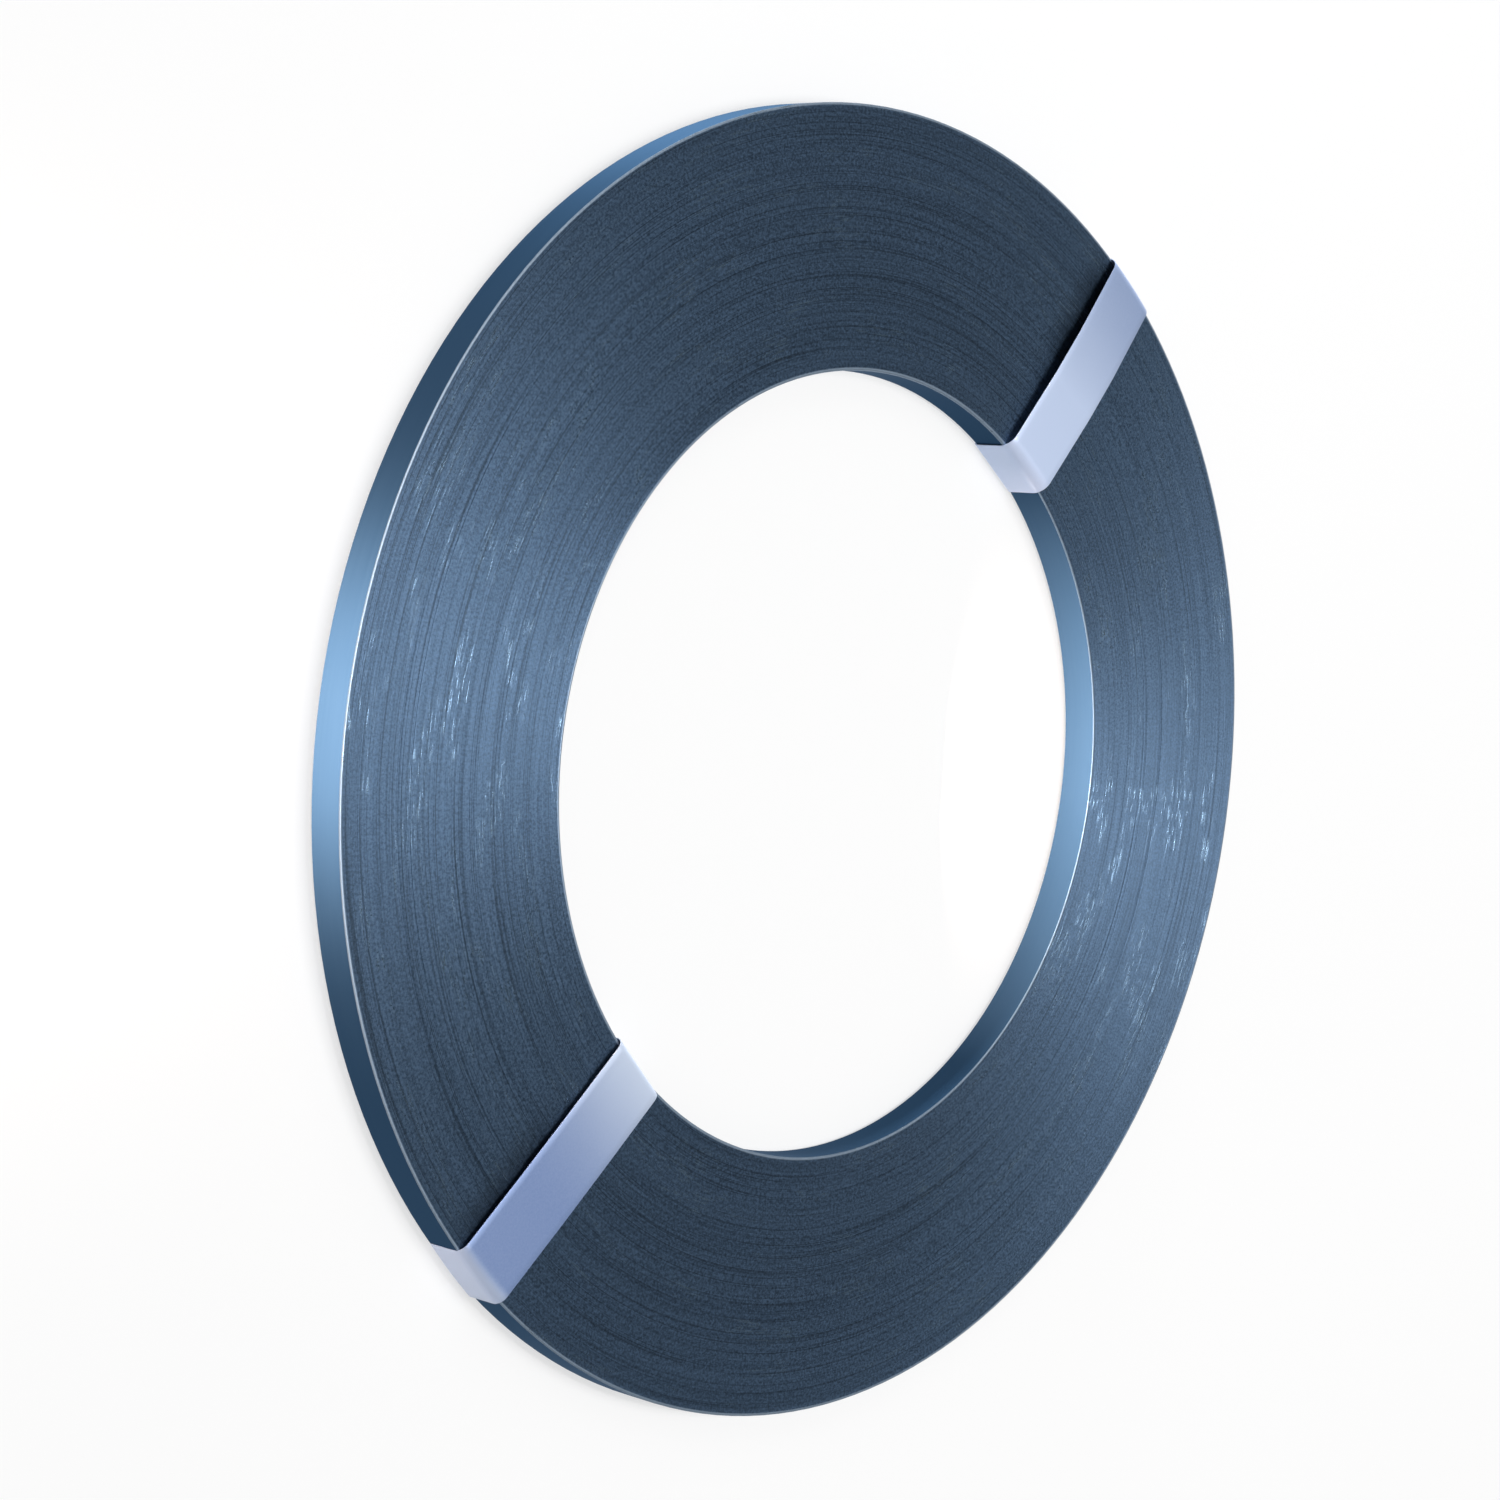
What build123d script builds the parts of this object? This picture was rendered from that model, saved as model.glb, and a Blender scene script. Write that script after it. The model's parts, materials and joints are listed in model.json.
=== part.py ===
"""Ribbon-wound coil of blued steel strapping that lies on its back end, held by two flat steel ties."""

import os
from math import cos, degrees, radians, sin, sqrt

from build123d import *

os.makedirs("parts", exist_ok=True)

# Lengths are in millimetres and angles in degrees. The origin is the middle of the bore, +Z runs up the
# coil's axis from its back end to its front end, and angles run from +X towards +Y.

# The strap and the coil that is wound from it
strap_width = 20.0
strap_thickness = 0.5
turn_count = 269
bore_radius = 203.0
edge_bevel = 1.2

# The turns wander sideways as they are wound: each band of turns ends at a share of the winding's depth,
# counted from the bore, and stands forward or back by a share of the largest wander
side_wander = 0.4
band_end_shares = (0.08, 0.19, 0.30, 0.36, 0.46, 0.60, 0.74, 0.87, 1.00)
band_shift_shares = (0.0, -0.6, 0.4, -0.5, 0.7, -0.8, 1.0, -0.4, 0.0)

# The ties: flat strips that stand off the front end, lie flat under the back end and are lapped there
tie_width = 39.0
tie_thickness = 0.5
tie_seat_gap = 0.3
back_gap = 0.05
back_fold_radius = 2.0
lap_length = 48.0

# Where each tie sits, how far it leans off the radius, how round its front folds are and how steeply its
# front rises off the coil to the flat top of its bow
tie_names = ("upper_tie", "lower_tie")
tie_angles = (52.7, 225.9)
tie_leans = (0.0, -2.0)
front_fold_radii = (7.5, 5.0)
tie_bow_angles = (2.5, 0.6)
bow_top_length = 30.0

# Sizes that follow
winding_depth = turn_count * strap_thickness
outer_radius = bore_radius + winding_depth
middle_radius = bore_radius + winding_depth / 2
inside_x = bore_radius - tie_seat_gap
outside_x = outer_radius + tie_seat_gap
back_y = -strap_width / 2 - side_wander - back_gap
back_fold_y = back_y + back_fold_radius
lap_y = back_y - tie_thickness - tie_thickness / 2
tie_sweep = degrees(2 * tie_width / bore_radius)


# The coil: bands of turns side by side make its section, which is turned about the axis
with BuildPart() as strap_coil:
    with BuildSketch(Plane.XZ) as section:
        start_share = 0
        for end_share, shift_share in zip(band_end_shares, band_shift_shares):
            band_depth = winding_depth * (end_share - start_share)
            band_x = bore_radius + winding_depth * (start_share + end_share) / 2
            with Locations((band_x, side_wander * shift_share)):
                Rectangle(band_depth, strap_width)
            start_share = end_share
        columns = section.vertices().group_by(Axis.X)
        chamfer(columns[0] + columns[-1], edge_bevel)
    revolve(axis=Axis.Z)

strap_coil.part.label = "strap_coil"
export_step(strap_coil.part, "parts/strap_coil.step")


# The ties: a closed loop round the coil's section is turned part of the way and cut to the strip's width
for name, angle, lean, fold_radius, bow_angle in zip(
    tie_names, tie_angles, tie_leans, front_fold_radii, tie_bow_angles
):
    turn = radians(angle)
    start = radians(angle - tie_sweep / 2)
    along = radians(angle + lean)
    # A fold lies where it clears the coil's bevelled edge by about half of the seat gap
    front_fold_y = strap_width / 2 - edge_bevel - sqrt(tie_seat_gap * fold_radius)
    loop_plane = Plane((0, 0, 0), x_dir=(cos(start), sin(start), 0), z_dir=(sin(start), -cos(start), 0))
    strip_plane = Plane(
        (middle_radius * cos(turn), middle_radius * sin(turn), 0),
        x_dir=(cos(along), sin(along), 0),
        z_dir=(sin(along), -cos(along), 0),
    )
    with BuildPart() as tie:
        with BuildSketch(loop_plane):
            with BuildLine() as inside:
                bore_side = Line((inside_x, back_fold_y), (inside_x, front_fold_y))
                bore_fold = JernArc(bore_side @ 1, bore_side % 1, fold_radius, bow_angle - 90)
                run = middle_radius - bow_top_length / 2 - (bore_fold @ 1).X
                level = LengthMode.HORIZONTAL
                rise = PolarLine(bore_fold @ 1, run, direction=bore_fold % 1, length_mode=level)
                top = Line(rise @ 1, rise @ 1 + (bow_top_length, 0))
                fall = PolarLine(top @ 1, run, angle=-bow_angle, length_mode=level)
                TangentArc(fall @ 1, (outside_x, front_fold_y), tangent=fall % 1)
                rim_side = Line((outside_x, front_fold_y), (outside_x, back_fold_y))
                rim_fold = JernArc(rim_side @ 1, rim_side % 1, back_fold_radius, -90)
                back = Line(rim_fold @ 1, (inside_x + back_fold_radius, back_y))
                TangentArc(back @ 1, (inside_x, back_fold_y), tangent=back % 1)
            make_face()
            offset(amount=tie_thickness, kind=Kind.INTERSECTION)
            make_face(inside.edges(), mode=Mode.SUBTRACT)
            with Locations((middle_radius, lap_y)):
                Rectangle(lap_length, tie_thickness)
        revolve(axis=Axis.Z, revolution_arc=tie_sweep)
        with BuildSketch(strip_plane):
            Rectangle(outer_radius, outer_radius)
        extrude(amount=tie_width / 2, both=True, mode=Mode.INTERSECT)
    tie.part.label = name
    export_step(tie.part, f"parts/{name}.step")
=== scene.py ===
import json
import math
import random

import bmesh
import bpy
from mathutils import Matrix, Vector


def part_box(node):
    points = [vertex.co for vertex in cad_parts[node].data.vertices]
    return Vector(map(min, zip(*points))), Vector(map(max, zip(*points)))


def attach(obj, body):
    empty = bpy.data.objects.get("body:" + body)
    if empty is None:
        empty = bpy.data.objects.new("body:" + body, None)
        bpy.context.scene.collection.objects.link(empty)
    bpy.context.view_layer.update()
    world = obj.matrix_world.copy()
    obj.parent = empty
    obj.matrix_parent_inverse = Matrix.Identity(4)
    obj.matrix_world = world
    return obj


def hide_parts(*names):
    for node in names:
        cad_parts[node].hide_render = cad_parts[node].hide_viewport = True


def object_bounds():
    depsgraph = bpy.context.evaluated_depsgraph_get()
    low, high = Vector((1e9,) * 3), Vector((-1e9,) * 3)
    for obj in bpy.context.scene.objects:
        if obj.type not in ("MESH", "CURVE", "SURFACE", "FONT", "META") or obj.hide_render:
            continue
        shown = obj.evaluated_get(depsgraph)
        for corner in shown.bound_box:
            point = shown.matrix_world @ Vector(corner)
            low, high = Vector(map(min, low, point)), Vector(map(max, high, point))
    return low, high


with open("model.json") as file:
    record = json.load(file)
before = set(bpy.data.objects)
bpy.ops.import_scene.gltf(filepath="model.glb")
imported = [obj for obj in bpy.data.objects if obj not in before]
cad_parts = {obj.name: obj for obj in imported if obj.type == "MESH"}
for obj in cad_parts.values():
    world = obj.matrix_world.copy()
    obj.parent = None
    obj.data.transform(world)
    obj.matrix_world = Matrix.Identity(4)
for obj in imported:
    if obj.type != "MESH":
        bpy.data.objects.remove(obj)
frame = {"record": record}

MM = 0.001
cad_low, cad_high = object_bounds()

# The coil: a strap wound turn on turn from its inner end to its outer end, both ends under the upper tie
BORE_RADIUS = frame["record"]["mounts"][0]["dims"]["r_mm"] * MM
OUTER_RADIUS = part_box("strap_coil")[1].x
MIDDLE_RADIUS = (BORE_RADIUS + OUTER_RADIUS) / 2
TURNS = 269
PITCH = (OUTER_RADIUS - BORE_RADIUS) / TURNS
HALF_WIDTH = 10.0 * MM
EDGE_ROUND = 1.2 * MM
STRAP_ENDS = math.radians(52.7)

# How the turns lie at the coil's ends: bands that stand forward or back, and each turn a little by itself
BAND_ENDS = (0.08, 0.19, 0.30, 0.36, 0.46, 0.60, 0.74, 0.87, 1.00)
BAND_SHIFTS = (0.0, -0.6, 0.4, -0.5, 0.7, -0.8, 1.0, -0.4, 0.0)
BAND_WANDER = 0.34 * MM
BAND_LEAD = 6
TURN_WANDER = 0.03 * MM
SUNK_TURN = 0.16 * MM
SUNK_SHARE = 0.05
TURN_CROWN = 0.19 * MM
KNOTS_PER_TURN = 3
STEPS_PER_TURN = 180

# The ties: name, place round the coil and lean off the radius in degrees, radius of the front folds, and bow
TIES = (("upper_tie", 52.7, 0.0, 7.5 * MM, 2.5), ("lower_tie", 225.9, -2.0, 5.0 * MM, 0.6))
TIE_WIDTH = 39.0 * MM
TIE_THICKNESS = 0.5 * MM
TIE_SEAT = 0.3 * MM
BACK_OFF, BACK_FOLD = 0.45 * MM, 2.0 * MM
BOW_TOP = 30.0 * MM
LAP_LENGTH = 48.0 * MM
STRIP_EDGE = 0.12 * MM
STRIP_ROWS = 10
FRONT_FOLD_STEPS, BACK_FOLD_STEPS = 10, 5

# Where the colours change: depths in from the rim and the bore for the painted edge highlight, places along
# and across a tie for the painted shadow beside it, and radii for the painted light and shade along the ties
EDGE_HIGHLIGHT_START, EDGE_HIGHLIGHT_FULL = 2.0 * MM, 1.2 * MM
SHADOW_REACH, SHADOW_FULL, SHADOW_SOFT = 40 * MM, 20 * MM, 10 * MM
SHADOW_START, SHADOW_DARK, SHADOW_FADE, SHADOW_END = 236 * MM, 285 * MM, 318 * MM, 342 * MM
GRAIN_RELIEF = 0.1 * MM
TINT_CLOUD = 16 * MM
FOLD_LIP = 1 * MM
UPPER_TINT_START, UPPER_TINT_FULL, UPPER_PALE_RIM = 255 * MM, 355 * MM, 3 * MM
LOWER_TINT_START, LOWER_TINT_FULL, LOWER_PALE_RIM = 196 * MM, 292 * MM, 7 * MM
FLOOR_HALF = 12.0


# Materials
def add_node(tree, kind, **settings):
    made = tree.nodes.new(kind)
    for key, value in settings.items():
        setattr(made, key, value)
    return made


def put(tree, value, socket):
    """Links a socket to another, or sets it to a plain value."""
    if isinstance(value, bpy.types.NodeSocket):
        tree.links.new(value, socket)
    else:
        socket.default_value = value


def calc(tree, operation, *values):
    made = add_node(tree, "ShaderNodeMath", operation=operation)
    for value, socket in zip(values, made.inputs):
        put(tree, value, socket)
    return made.outputs[0]


def ramp(tree, value, start, end):
    """Rises smoothly from 0 at start to 1 at end."""
    made = add_node(tree, "ShaderNodeMapRange", interpolation_type="SMOOTHSTEP")
    for item, socket in zip((value, start, end), made.inputs):
        put(tree, item, socket)
    return made.outputs[0]


def blend(tree, factor, first, second):
    made = add_node(tree, "ShaderNodeMix", data_type="RGBA")
    for value, socket in zip((factor, first, second), (made.inputs[0], made.inputs[6], made.inputs[7])):
        put(tree, value, socket)
    return made.outputs[2]


def noise(tree, vector, scale=1.0, detail=2.0, roughness=0.5):
    made = add_node(tree, "ShaderNodeTexNoise")
    put(tree, vector, made.inputs["Vector"])
    put(tree, scale, made.inputs["Scale"])
    made.inputs["Detail"].default_value = detail
    made.inputs["Roughness"].default_value = roughness
    return made.outputs[0]


def split(tree, vector):
    made = add_node(tree, "ShaderNodeSeparateXYZ")
    put(tree, vector, made.inputs[0])
    return made.outputs


def join(tree, x, y, z):
    made = add_node(tree, "ShaderNodeCombineXYZ")
    for value, socket in zip((x, y, z), made.inputs):
        put(tree, value, socket)
    return made.outputs[0]


def turned(tree, vector, angle):
    """The same place, seen from an X axis that is turned about the coil's axis."""
    made = add_node(tree, "ShaderNodeMapping")
    put(tree, vector, made.inputs["Vector"])
    made.inputs["Rotation"].default_value = (0, 0, -angle)
    return made.outputs[0]


def new_group(name, inputs, outputs):
    group = bpy.data.node_groups.new(name, "ShaderNodeTree")
    for label, kind in inputs:
        group.interface.new_socket(label, in_out="INPUT", socket_type=kind)
    for label, kind in outputs:
        group.interface.new_socket(label, in_out="OUTPUT", socket_type=kind)
    return group, add_node(group, "NodeGroupInput").outputs, add_node(group, "NodeGroupOutput").inputs


def use_group(tree, group, **values):
    made = add_node(tree, "ShaderNodeGroup", node_tree=group)
    for key, value in values.items():
        put(tree, value, made.inputs[key])
    return made.outputs


VECTOR, VALUE = "NodeSocketVector", "NodeSocketFloat"


def winding_group():
    """Where a point lies in the winding: its radius, turn, share across that turn and way round."""
    outputs = [("Radius", VALUE), ("Turn", VALUE), ("Across", VALUE), ("Cosine", VALUE), ("Sine", VALUE)]
    group, given, result = new_group("winding", [("Vector", VECTOR)], outputs)
    x, y, _ = split(group, given["Vector"])
    square = calc(group, "MULTIPLY_ADD", x, x, calc(group, "MULTIPLY", y, y))
    radius = calc(group, "SQRT", square)
    angle = calc(group, "SUBTRACT", calc(group, "ARCTAN2", y, x), STRAP_ENDS)
    way = calc(group, "FRACT", calc(group, "DIVIDE", angle, 2 * math.pi))
    turns = calc(group, "DIVIDE", calc(group, "SUBTRACT", radius, BORE_RADIUS), PITCH)
    turns = calc(group, "SUBTRACT", turns, way)
    put(group, radius, result["Radius"])
    put(group, calc(group, "FLOOR", turns), result["Turn"])
    put(group, calc(group, "FRACT", turns), result["Across"])
    put(group, calc(group, "DIVIDE", x, radius), result["Cosine"])
    put(group, calc(group, "DIVIDE", y, radius), result["Sine"])
    return group


def grain_group():
    """Fine mottling of the steel, from 0 to 1."""
    group, given, result = new_group("grain", [("Vector", VECTOR), ("Scale", VALUE)], [("Grain", VALUE)])
    speckle = noise(group, given["Vector"], given["Scale"], 4.0, 0.65)
    put(group, ramp(group, speckle, 0.3, 0.7), result["Grain"])
    return group


def streak_group():
    """Marks that run along the strap, from 0 to 1, long round the coil and fine across it."""
    inputs = [("Vector", VECTOR), ("Across", VALUE), ("Round", VALUE), ("Fineness", VALUE)]
    group, given, result = new_group("streaks", inputs, [("Streak", VALUE)])
    wound = use_group(group, WINDING, Vector=given["Vector"])
    along = [calc(group, "MULTIPLY", wound[axis], given["Round"]) for axis in ("Cosine", "Sine")]
    across = calc(group, "MULTIPLY", given["Across"], given["Fineness"])
    put(group, noise(group, join(group, *along, across)), result["Streak"])
    return group


WINDING, GRAIN = winding_group(), grain_group()
STREAKS = streak_group()


def new_material(name):
    material = bpy.data.materials.new(name)
    material.use_nodes = True
    tree = material.node_tree
    mapping = add_node(tree, "ShaderNodeMapping")
    put(tree, add_node(tree, "ShaderNodeTexCoord").outputs["Object"], mapping.inputs["Vector"])
    return material, tree, tree.nodes["Principled BSDF"], mapping.outputs[0]


def tie_shade(tree, place, angle, side):
    """A painted shadow beside a tie, on one side of it, from the middle of the strip to the rim."""
    along, across, _ = split(tree, turned(tree, place, math.radians(angle)))
    across = calc(tree, "MULTIPLY", across, side)
    width = calc(
        tree, "MULTIPLY", ramp(tree, across, SHADOW_REACH, SHADOW_FULL), ramp(tree, across, 0.0, SHADOW_SOFT)
    )
    length = calc(
        tree, "MULTIPLY", ramp(tree, along, SHADOW_START, SHADOW_DARK), ramp(tree, along, SHADOW_END, SHADOW_FADE)
    )
    return calc(tree, "MULTIPLY", width, length)


def turn_edge_material():
    """The slit edges of the turns: dark blued steel, grainy, with dark gaps, a painted highlight along the
    rim and the bore, a painted shadow beside each tie, and a few smooth spots made paler as painted glints.
    """
    material, tree, shader, place = new_material("turn_edges")
    wound = use_group(tree, WINDING, Vector=place)
    radius = wound["Radius"]
    turn = wound["Turn"]
    line = use_group(tree, STREAKS, Vector=place, Across=turn, Round=2.5, Fineness=0.9)[0]
    row = use_group(tree, STREAKS, Vector=place, Across=turn, Round=1.3, Fineness=0.6)[0]
    band = use_group(tree, STREAKS, Vector=place, Across=radius, Round=1.6, Fineness=60.0)[0]
    pale = use_group(tree, STREAKS, Vector=place, Across=radius, Round=24.0, Fineness=1200.0)[0]
    cluster = use_group(tree, STREAKS, Vector=place, Across=radius, Round=5.0, Fineness=60.0)[0]
    grain = use_group(tree, GRAIN, Vector=place, Scale=700.0)[0]

    tone = calc(tree, "MULTIPLY", line, 0.42)
    tone = calc(tree, "MULTIPLY_ADD", row, 0.24, tone)
    tone = calc(tree, "MULTIPLY_ADD", band, 0.10, tone)
    tone = calc(tree, "MULTIPLY_ADD", grain, 0.46, tone)
    colour = blend(tree, ramp(tree, tone, 0.22, 0.98), (0.030, 0.056, 0.094, 1), (0.087, 0.148, 0.240, 1))
    edge_of_turn = calc(tree, "ABSOLUTE", calc(tree, "SUBTRACT", wound["Across"], 0.5))
    gap = calc(tree, "MULTIPLY", ramp(tree, row, 0.48, 0.30), 0.5)
    gap = calc(tree, "MAXIMUM", calc(tree, "MULTIPLY", ramp(tree, edge_of_turn, 0.2, 0.5), 0.3), gap)
    colour = blend(tree, gap, colour, (0.010, 0.019, 0.031, 1))
    # Painted shadow: the face darkened beside each tie, from the middle of the strip to the rim
    for (_, angle, *_), side in zip(TIES, (1, -1)):
        shade = calc(tree, "MULTIPLY", tie_shade(tree, place, angle, side), 0.6)
        colour = blend(tree, shade, colour, (0.010, 0.018, 0.029, 1))
    # Painted highlight: a paler colour along the rounded edges at the rim and the bore
    rim = ramp(tree, radius, OUTER_RADIUS - EDGE_HIGHLIGHT_START, OUTER_RADIUS - EDGE_HIGHLIGHT_FULL)
    bore = ramp(tree, radius, BORE_RADIUS + EDGE_HIGHLIGHT_START, BORE_RADIUS + EDGE_HIGHLIGHT_FULL)
    colour = blend(tree, calc(tree, "MAXIMUM", rim, bore), colour, (0.27, 0.35, 0.45, 1))
    # Smooth spots that catch the glint lamp, their colour made paler as a painted glint
    spark = calc(tree, "MULTIPLY", ramp(tree, pale, 0.54, 0.66), ramp(tree, cluster, 0.52, 0.64))
    colour = blend(tree, calc(tree, "MULTIPLY", spark, 0.3), colour, (0.24, 0.36, 0.48, 1))
    put(tree, colour, shader.inputs["Base Color"])
    dull = calc(tree, "MULTIPLY_ADD", grain, 0.14, 0.32)
    put(tree, calc(tree, "MULTIPLY_ADD", spark, -0.18, dull), shader.inputs["Roughness"])
    shader.inputs["Metallic"].default_value = 0.75
    bump = add_node(tree, "ShaderNodeBump")
    bump.inputs["Strength"].default_value = 0.2
    bump.inputs["Distance"].default_value = GRAIN_RELIEF
    put(tree, grain, bump.inputs["Height"])
    put(tree, bump.outputs[0], shader.inputs["Normal"])
    return material


def strap_material():
    """The flat of the strap, on the rim and in the bore: smooth blued steel, rolled along its length."""
    material, tree, shader, place = new_material("strap_flat")
    marks = use_group(tree, STREAKS, Vector=place, Across=split(tree, place)[2], Round=5.0, Fineness=600.0)[0]
    cloud = noise(tree, place, 9.0)
    tone = calc(tree, "MULTIPLY_ADD", marks, 0.35, calc(tree, "MULTIPLY", cloud, 0.65))
    colour = blend(tree, ramp(tree, tone, 0.3, 0.7), (0.029, 0.068, 0.129, 1), (0.035, 0.078, 0.144, 1))
    put(tree, colour, shader.inputs["Base Color"])
    put(tree, calc(tree, "MULTIPLY_ADD", marks, 0.06, 0.53), shader.inputs["Roughness"])
    shader.inputs["Metallic"].default_value = 1.0
    shader.inputs["Specular Tint"].default_value = (0.55, 0.66, 0.80, 1)
    shader.inputs["Anisotropic"].default_value = 0.65
    shader.inputs["Anisotropic Rotation"].default_value = 0.25
    tangent = add_node(tree, "ShaderNodeTangent", direction_type="RADIAL", axis="Z")
    put(tree, tangent.outputs[0], shader.inputs["Tangent"])
    return material


def strip_material(name, pale, tinted, tint_start, tint_full, pale_rim):
    """Pale steel strip with painted light and shade: pale at the bore end, a blue tint that deepens towards
    the rim, and a painted highlight that pales it again at the rim fold.
    """
    material, tree, shader, place = new_material(name)
    radius = use_group(tree, WINDING, Vector=place)["Radius"]
    grain = use_group(tree, GRAIN, Vector=place, Scale=900.0)[0]
    middle = calc(tree, "SUBTRACT", radius, TINT_CLOUD / 2)
    cloudy = calc(tree, "MULTIPLY_ADD", noise(tree, place, 14.0), TINT_CLOUD, middle)
    # Painted light and shade along the strip: pale near the bore, shaded blue towards the rim, with a random
    # cloud in where it starts
    tint = calc(tree, "SQRT", ramp(tree, cloudy, tint_start, tint_full))
    # Painted highlight: the strip paler again at the rim fold
    fold = ramp(tree, radius, OUTER_RADIUS - FOLD_LIP, OUTER_RADIUS - pale_rim)
    tint = calc(tree, "MULTIPLY", tint, calc(tree, "MULTIPLY_ADD", fold, 0.55, 0.45))
    colour = blend(tree, tint, pale, tinted)
    colour = blend(tree, calc(tree, "MULTIPLY", grain, 0.08), colour, (0.62, 0.69, 0.86, 1))
    put(tree, colour, shader.inputs["Base Color"])
    put(tree, calc(tree, "MULTIPLY_ADD", grain, 0.06, 0.36), shader.inputs["Roughness"])
    shader.inputs["Metallic"].default_value = 0.25
    return material


TURN_EDGES, STRAP_FLAT = turn_edge_material(), strap_material()
STRIP_FINISH = {
    "upper_tie": strip_material(
        "upper_strip", (0.58, 0.69, 0.92, 1), (0.26, 0.345, 0.55, 1),
        UPPER_TINT_START, UPPER_TINT_FULL, UPPER_PALE_RIM,
    ),
    "lower_tie": strip_material(
        "lower_strip", (0.68, 0.77, 0.92, 1), (0.20, 0.29, 0.53, 1),
        LOWER_TINT_START, LOWER_TINT_FULL, LOWER_PALE_RIM,
    ),
}


# Pieces
def new_piece(name, bm, node, materials):
    """Makes a bmesh a smooth-shaded piece that stands for a CAD node."""
    mesh = bpy.data.meshes.new(name)
    for face in bm.faces:
        face.smooth = True
    bm.to_mesh(mesh)
    bm.free()
    for material in materials:
        mesh.materials.append(material)
    piece = bpy.data.objects.new(name, mesh)
    bpy.context.scene.collection.objects.link(piece)
    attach(piece, "root")
    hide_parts(node)


def only(kind, geometry):
    return [item for item in geometry if isinstance(item, kind)]


chance = random.Random(23)
turn_knots = [
    chance.gauss(0, TURN_WANDER) - (SUNK_TURN if chance.random() < SUNK_SHARE else 0)
    for _ in range(KNOTS_PER_TURN * (TURNS + 2))
]


def forward(turns):
    """How far the strap stands forward, that many turns from its inner end."""
    knot = max(turns, 0) * KNOTS_PER_TURN
    low = int(knot)
    shift = turn_knots[low] + (turn_knots[low + 1] - turn_knots[low]) * (knot - low)
    band = BAND_SHIFTS[0]
    for end, before, after in zip(BAND_ENDS, BAND_SHIFTS, BAND_SHIFTS[1:]):
        band += (after - before) * min(max((turns - end * TURNS) / BAND_LEAD + 0.5, 0), 1)
    return shift + band * BAND_WANDER


def edge_drop(depth):
    """How far the rounded edge lies below the end, at a depth in from the rim or the bore."""
    rise = max(EDGE_ROUND - depth, 0)
    return EDGE_ROUND - math.sqrt(EDGE_ROUND ** 2 - rise ** 2)


def coil_half(name, side):
    """Half of the coil's width, closed at its middle, with an end on which every turn is a small crown."""
    columns = 2 * (TURNS - 1)
    bm = bmesh.new()
    bmesh.ops.create_grid(bm, x_segments=columns, y_segments=STEPS_PER_TURN, size=1)
    column = {v: round((v.co.x + 1) / 2 * columns) for v in bm.verts}
    for edge in bm.edges:
        first, second = (column[v] for v in edge.verts)
        gap = first == second and first % 2 == 0
        edge.smooth = not gap or min(first, columns - first) * PITCH / 2 < EDGE_ROUND
    for v in bm.verts:
        way = (v.co.y + 1) / 2
        turns = column[v] / 2 + way
        if column[v] % 2:
            shift = side * forward(turns - 0.5)
        else:
            shift = min(side * forward(turns - 1), side * forward(turns)) - TURN_CROWN
        depth = min(turns, TURNS - turns) * PITCH
        shift *= min(max(depth / EDGE_ROUND - 1, 0), 1)
        angle = STRAP_ENDS + 2 * math.pi * way
        radius = BORE_RADIUS + PITCH * turns
        height = HALF_WIDTH - edge_drop(depth) + shift
        v.co = radius * math.cos(angle), radius * math.sin(angle), side * height
    bmesh.ops.remove_doubles(bm, verts=bm.verts, dist=PITCH / 20)

    edges = [e for e in bm.edges if e.is_boundary]
    for edge in edges:
        edge.smooth = False
    walls = bmesh.ops.extrude_edge_only(bm, edges=edges)["geom"]
    for v in only(bmesh.types.BMVert, walls):
        v.co.z = 0
    seams = [e for e in only(bmesh.types.BMEdge, walls) if e.is_boundary]
    for edge in seams:
        edge.smooth = False
    bore_seam = [e for e in seams if e.verts[0].co.length < MIDDLE_RADIUS]
    middle = bmesh.ops.extrude_edge_only(bm, edges=bore_seam)["geom"]
    for v in only(bmesh.types.BMVert, middle):
        v.co *= 1 + PITCH * (TURNS - 1) / v.co.length
    for face in only(bmesh.types.BMFace, walls + middle):
        face.material_index = 1
    bmesh.ops.remove_doubles(bm, verts=[v for v in bm.verts if v.co.z == 0], dist=PITCH / 20)
    bmesh.ops.recalc_face_normals(bm, faces=bm.faces)
    new_piece(name, bm, "strap_coil", [TURN_EDGES, STRAP_FLAT])


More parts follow.
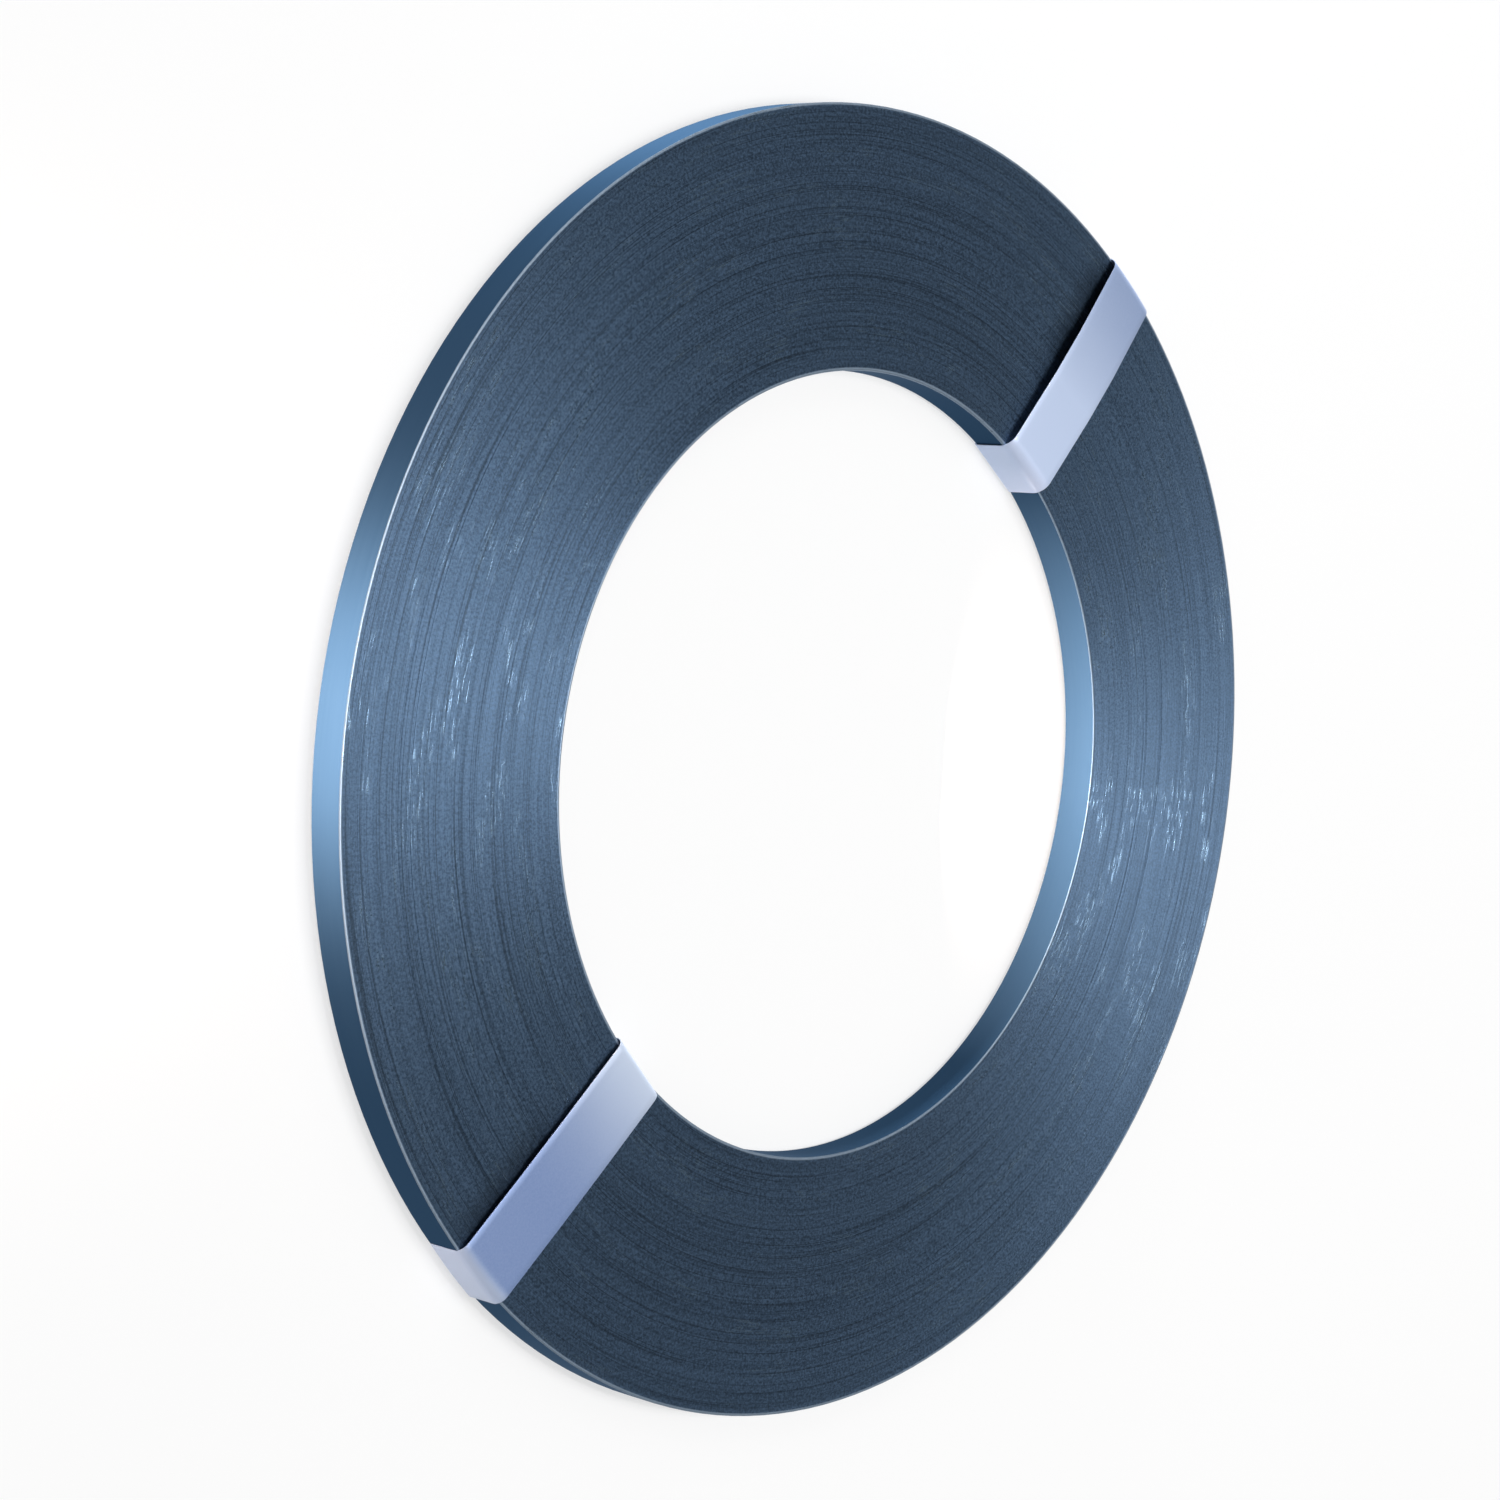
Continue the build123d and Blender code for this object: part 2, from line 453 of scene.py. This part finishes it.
def tie(node, angle, lean, fold_radius, bow):
    """A strip led round the coil's section, folded over its edges and lapped under its back end."""
    inside, outside = BORE_RADIUS - TIE_SEAT, OUTER_RADIUS + TIE_SEAT
    fold_z, back = HALF_WIDTH - EDGE_ROUND - math.sqrt(TIE_SEAT * fold_radius), -HALF_WIDTH - BACK_OFF
    bow, quarter = math.radians(bow), math.pi / 2
    bm = bmesh.new()
    start = tip = bm.verts.new((inside, 0, back + BACK_FOLD))

    def run(x, z):
        made = bmesh.ops.extrude_vert_indiv(bm, verts=[tip])["verts"][0]
        made.co = x, 0, z
        return made

    def fold(x, z, turn, steps):
        made = bmesh.ops.spin(bm, geom=[tip], cent=(x, 0, z), axis=(0, 1, 0), angle=turn, steps=steps)
        return only(bmesh.types.BMVert, made["geom_last"])[0]

    tip = run(inside, fold_z)
    tip = fold(inside + fold_radius, fold_z, quarter - bow, FRONT_FOLD_STEPS)
    top_start = MIDDLE_RADIUS - BOW_TOP / 2
    tip = run(top_start, tip.co.z + (top_start - tip.co.x) * math.tan(bow))
    tip = run(top_start + BOW_TOP, tip.co.z)
    tip = run(outside - fold_radius * (1 - math.sin(bow)), fold_z + fold_radius * math.cos(bow))
    tip = fold(outside - fold_radius, fold_z, quarter - bow, FRONT_FOLD_STEPS)
    tip = run(outside, back + BACK_FOLD)
    tip = fold(outside - BACK_FOLD, back + BACK_FOLD, quarter, BACK_FOLD_STEPS)
    tip = run(inside + BACK_FOLD, back)
    tip = fold(inside + BACK_FOLD, back + BACK_FOLD, quarter, BACK_FOLD_STEPS)
    bmesh.ops.weld_verts(bm, targetmap={tip: start})

    edges = list(bm.edges)
    bmesh.ops.translate(bm, verts=bm.verts, vec=(0, -TIE_WIDTH / 2, 0))
    for _ in range(STRIP_ROWS):
        made = bmesh.ops.extrude_edge_only(bm, edges=edges)["geom"]
        moved = only(bmesh.types.BMVert, made)
        edges = [e for e in only(bmesh.types.BMEdge, made) if all(v in moved for v in e.verts)]
        bmesh.ops.translate(bm, verts=moved, vec=(0, TIE_WIDTH / STRIP_ROWS, 0))
    bmesh.ops.recalc_face_normals(bm, faces=bm.faces)
    bmesh.ops.solidify(bm, geom=list(bm.faces), thickness=-TIE_THICKNESS)
    bmesh.ops.recalc_face_normals(bm, faces=bm.faces)
    corners = [e for e in bm.edges if e.calc_face_angle(0) > math.radians(60)]
    bmesh.ops.bevel(
        bm, geom=corners, offset=STRIP_EDGE, offset_type="OFFSET", segments=2, profile=0.5,
        affect="EDGES", material=-1,
    )
    lap = bmesh.ops.create_cube(bm, size=1)["verts"]
    bmesh.ops.scale(bm, verts=lap, vec=(LAP_LENGTH, TIE_WIDTH, TIE_THICKNESS))
    bmesh.ops.translate(bm, verts=lap, vec=(MIDDLE_RADIUS, 0, back - 1.5 * TIE_THICKNESS))
    for edge in bm.edges:
        edge.smooth = edge.calc_face_angle(0) < math.radians(30)

    turn = Matrix.Rotation(math.radians(lean), 3, "Z")
    bmesh.ops.rotate(bm, verts=bm.verts, cent=(MIDDLE_RADIUS, 0, 0), matrix=turn)
    for v in bm.verts:
        reach = v.co.y if v.co.x > MIDDLE_RADIUS else TIE_WIDTH / 2
        v.co.x = math.sqrt(v.co.x ** 2 - reach ** 2)
    bmesh.ops.rotate(bm, verts=bm.verts, cent=(0, 0, 0), matrix=Matrix.Rotation(math.radians(angle), 3, "Z"))
    new_piece(node + "_strip", bm, node, [STRIP_FINISH[node]])


coil_half("coil_front_half", 1)
coil_half("coil_back_half", -1)
for placing in TIES:
    tie(*placing)


# Floor, light and camera
def area_light(name, place, target, width, height, power):
    lamp = bpy.data.lights.new(name, "AREA")
    lamp.shape = "RECTANGLE"
    lamp.size, lamp.size_y, lamp.energy = width, height, power
    stand = bpy.data.objects.new(name, lamp)
    bpy.context.scene.collection.objects.link(stand)
    stand.location = place
    stand.rotation_euler = (Vector(target) - Vector(place)).to_track_quat("-Z", "Y").to_euler()
    return lamp


paint, tree, shader, _ = new_material("floor_white")
shader.inputs["Base Color"].default_value = (0.97, 0.97, 0.97, 1)
shader.inputs["Roughness"].default_value = 0.9
seen_by = add_node(tree, "ShaderNodeLightPath").outputs
plain = calc(tree, "MAXIMUM", seen_by["Is Glossy Ray"], seen_by["Is Transmission Ray"])
plain = calc(tree, "MULTIPLY_ADD", seen_by["Is Camera Ray"], 0.6, plain)
white = add_node(tree, "ShaderNodeEmission")
surface = add_node(tree, "ShaderNodeMixShader")
for value, socket in zip((plain, shader.outputs[0], white.outputs[0]), surface.inputs):
    put(tree, value, socket)
put(tree, surface.outputs[0], tree.nodes["Material Output"].inputs["Surface"])
bm = bmesh.new()
bmesh.ops.create_grid(bm, x_segments=1, y_segments=1, size=FLOOR_HALF)
bmesh.ops.translate(bm, verts=bm.verts, vec=(0, 0, cad_low.z))
floor_mesh = bpy.data.meshes.new("floor")
bm.to_mesh(floor_mesh)
bm.free()
floor_mesh.materials.append(paint)
floor = bpy.data.objects.new("floor", floor_mesh)
bpy.context.scene.collection.objects.link(floor)

world = bpy.data.worlds.new("studio")
bpy.context.scene.world = world
world.use_nodes = True
world.node_tree.nodes["Background"].inputs["Color"].default_value = (1, 1, 1, 1)
world.node_tree.nodes["Background"].inputs["Strength"].default_value = 0.25

area_light("overhead", (0.64, 0.21, 5.0), (0.64, 0.21, 0), 2.7, 1.8, 156)
area_light("glint", (0.0, 0.13, 3.5), (0, 0, 0), 0.2, 0.2, 16)
area_light("key", (-1.8, 2.35, 2.7), (0, 0, 0), 1.6, 1.2, 8)
area_light("back_low", (0.35, 1.9, 0.03), (0, 0, 0), 0.6, 0.06, 40)
bore_side = area_light("bore_side", (0.10, 0.0, 0.0), (0.2, 0.0, 0), 0.06, 0.01, 0.40)
bore_side.spread = math.radians(165)
left_rear = area_light("left_rear", (-0.8775, 0.187, 0.0), (-0.333, 0.056, 0), 0.2, 0.02, 0.68)
left_front = area_light("left_front", (-0.894, -0.066, 0.0), (-0.3375, -0.003, 0), 0.2, 0.02, 0.68)
for lamp in (left_rear, left_front):
    lamp.spread = math.radians(40)
for lamp in (left_rear, left_front, bore_side):
    lamp.color = (1.0, 0.76, 0.62)

camera_data = bpy.data.cameras.new("camera")
camera_data.lens = 82.07
camera = bpy.data.objects.new("camera", camera_data)
bpy.context.scene.collection.objects.link(camera)
view_right = (0.68944, 0.06621, 0.72131)
view_up = (0.0, 0.99581, -0.09140)
view_back = (-0.72435, 0.06301, 0.68655)
facing = Matrix((view_right, view_up, view_back)).transposed().to_4x4()
camera.matrix_world = Matrix.Translation((-1.31247, 0.11630, 1.18343)) @ facing
bpy.context.scene.camera = camera
bpy.context.scene.view_settings.view_transform = "Standard"
